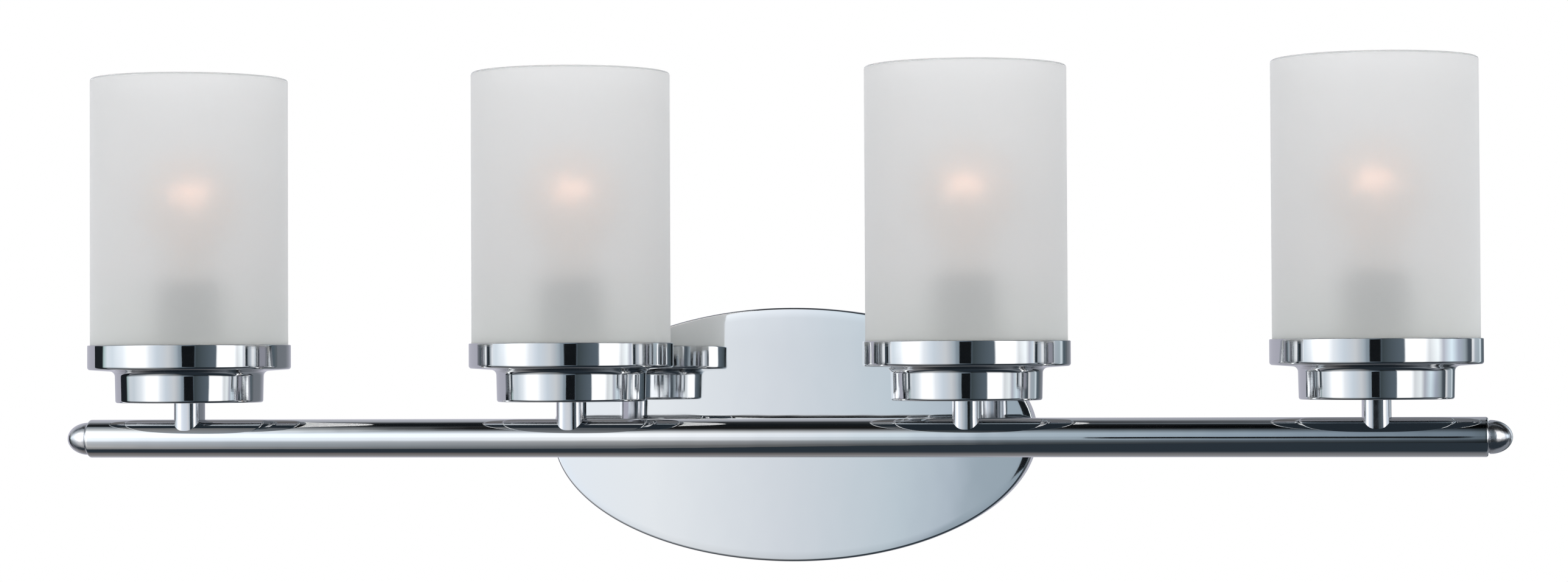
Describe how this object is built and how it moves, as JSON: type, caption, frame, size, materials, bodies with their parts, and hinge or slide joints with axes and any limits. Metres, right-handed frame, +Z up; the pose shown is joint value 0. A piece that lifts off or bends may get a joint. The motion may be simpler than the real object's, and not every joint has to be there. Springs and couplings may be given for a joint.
{
  "type": "vanity light bar",
  "caption": "Bathroom vanity light: frosted cylinder shades in stepped chrome cups on a round bar, held off an oval backplate.",
  "frame": {"origin": "on the wall plane at the middle of the backplate, midway between the outlet-box screws", "axes": "+X along the bar, to the right seen from the room; +Y into the wall; +Z up, the way the shades open"},
  "size_m": [0.832, 0.1707, 0.2855],
  "materials": {
    "chrome": "polished, mirror-bright plating",
    "canopy_chrome": "polished, mirror-bright plating",
    "dome_chrome": "plated over a slightly rough casting",
    "frosted_glass": "satin etched outside, milky, polished rim",
    "bulb_glass": "inside-frosted, warm when lit",
    "porcelain": "glazed dark grey",
    "ring_resin": "moulded off-white resin",
    "gasket_rubber": "matt black",
    "contact_brass": "plain, satin",
    "nipple_brass": "machined, satin",
    "cap_aluminium": "rolled, satin",
    "filament_metal": "fine wire on a clear stem",
    "zinc_steel": "zinc plated, slightly dull",
    "nut_steel": "zinc plated",
    "ground_green": "green dyed screw",
    "wire_black": "extruded insulation",
    "wire_white": "extruded insulation",
    "wire_green": "extruded insulation",
    "connector_orange": "moulded twist-on connector"
  },
  "bodies": {
    "wall_strap": {"mounting_strap": "zinc_steel", "studs": "nut_steel", "stud_nuts": "nut_steel", "ground_screw": "ground_green"},
    "fixture": {"canopy": "canopy_chrome", "arm_left": "chrome", "arm_right": "chrome", "bar_tube": "chrome", "end_cap_left": "dome_chrome", "end_cap_right": "dome_chrome", "threaded_nipples": "nipple_brass", "lock_nuts": "nut_steel", "hot_leads": "wire_black", "neutral_leads": "wire_white", "ground_lead": "wire_green", "wire_connectors": "connector_orange", "lamp_post_1": "chrome", "fitter_cup_1": "chrome", "shade_gasket_1": "gasket_rubber", "socket_body_1": "porcelain", "socket_contacts_1": "contact_brass", "lamp_post_2": "chrome", "fitter_cup_2": "chrome", "shade_gasket_2": "gasket_rubber", "socket_body_2": "porcelain", "socket_contacts_2": "contact_brass", "lamp_post_3": "chrome", "fitter_cup_3": "chrome", "shade_gasket_3": "gasket_rubber", "socket_body_3": "porcelain", "socket_contacts_3": "contact_brass", "lamp_post_4": "chrome", "fitter_cup_4": "chrome", "shade_gasket_4": "gasket_rubber", "socket_body_4": "porcelain", "socket_contacts_4": "contact_brass"},
    "shade_1": {"glass_shade_1": "frosted_glass"},
    "ring_1": {"retaining_ring_1": "ring_resin"},
    "bulb_1": {"bulb_glass_1": "bulb_glass", "bulb_base_1": "cap_aluminium", "filament_mount_1": "filament_metal"},
    "shade_2": {"glass_shade_2": "frosted_glass"},
    "ring_2": {"retaining_ring_2": "ring_resin"},
    "bulb_2": {"bulb_glass_2": "bulb_glass", "bulb_base_2": "cap_aluminium", "filament_mount_2": "filament_metal"},
    "shade_3": {"glass_shade_3": "frosted_glass"},
    "ring_3": {"retaining_ring_3": "ring_resin"},
    "bulb_3": {"bulb_glass_3": "bulb_glass", "bulb_base_3": "cap_aluminium", "filament_mount_3": "filament_metal"},
    "shade_4": {"glass_shade_4": "frosted_glass"},
    "ring_4": {"retaining_ring_4": "ring_resin"},
    "bulb_4": {"bulb_glass_4": "bulb_glass", "bulb_base_4": "cap_aluminium", "filament_mount_4": "filament_metal"},
    "nut_left": {"cap_nut_left": "chrome"},
    "nut_right": {"cap_nut_right": "chrome"}
  },
  "joints": [
    {"name": "fixture_off_wall", "type": "slide", "parent": "wall_strap", "child": "fixture", "axis": [0, -1, 0], "range_m": [0, 0.06]},
    {"name": "shade_1_lift", "type": "slide", "parent": "fixture", "child": "shade_1", "axis": [0, 0, 1], "range_m": [0, 0.08]},
    {"name": "ring_1_turn", "type": "hinge", "parent": "shade_1", "child": "ring_1", "pos_m": [-0.342, -0.112, 0.05], "axis": [0, 0, 1], "range_deg": [0, 1350]},
    {"name": "bulb_1_lift", "type": "slide", "parent": "ring_1", "child": "bulb_1", "axis": [0, 0, 1], "range_m": [0, 0.16]},
    {"name": "shade_2_lift", "type": "slide", "parent": "fixture", "child": "shade_2", "axis": [0, 0, 1], "range_m": [0, 0.08]},
    {"name": "ring_2_turn", "type": "hinge", "parent": "shade_2", "child": "ring_2", "pos_m": [-0.114, -0.112, 0.05], "axis": [0, 0, 1], "range_deg": [0, 1350]},
    {"name": "bulb_2_lift", "type": "slide", "parent": "ring_2", "child": "bulb_2", "axis": [0, 0, 1], "range_m": [0, 0.16]},
    {"name": "shade_3_lift", "type": "slide", "parent": "fixture", "child": "shade_3", "axis": [0, 0, 1], "range_m": [0, 0.08]},
    {"name": "ring_3_turn", "type": "hinge", "parent": "shade_3", "child": "ring_3", "pos_m": [0.114, -0.112, 0.05], "axis": [0, 0, 1], "range_deg": [0, 1350]},
    {"name": "bulb_3_lift", "type": "slide", "parent": "ring_3", "child": "bulb_3", "axis": [0, 0, 1], "range_m": [0, 0.16]},
    {"name": "shade_4_lift", "type": "slide", "parent": "fixture", "child": "shade_4", "axis": [0, 0, 1], "range_m": [0, 0.08]},
    {"name": "ring_4_turn", "type": "hinge", "parent": "shade_4", "child": "ring_4", "pos_m": [0.342, -0.112, 0.05], "axis": [0, 0, 1], "range_deg": [0, 1350]},
    {"name": "bulb_4_lift", "type": "slide", "parent": "ring_4", "child": "bulb_4", "axis": [0, 0, 1], "range_m": [0, 0.16]},
    {"name": "cap_nut_left_turn", "type": "hinge", "parent": "fixture", "child": "nut_left", "pos_m": [-0.03175, -0.027, 0], "axis": [0, -1, 0], "range_deg": [0, 3690]},
    {"name": "cap_nut_right_turn", "type": "hinge", "parent": "fixture", "child": "nut_right", "pos_m": [0.03175, -0.027, 0], "axis": [0, -1, 0], "range_deg": [0, 3690]}
  ]
}
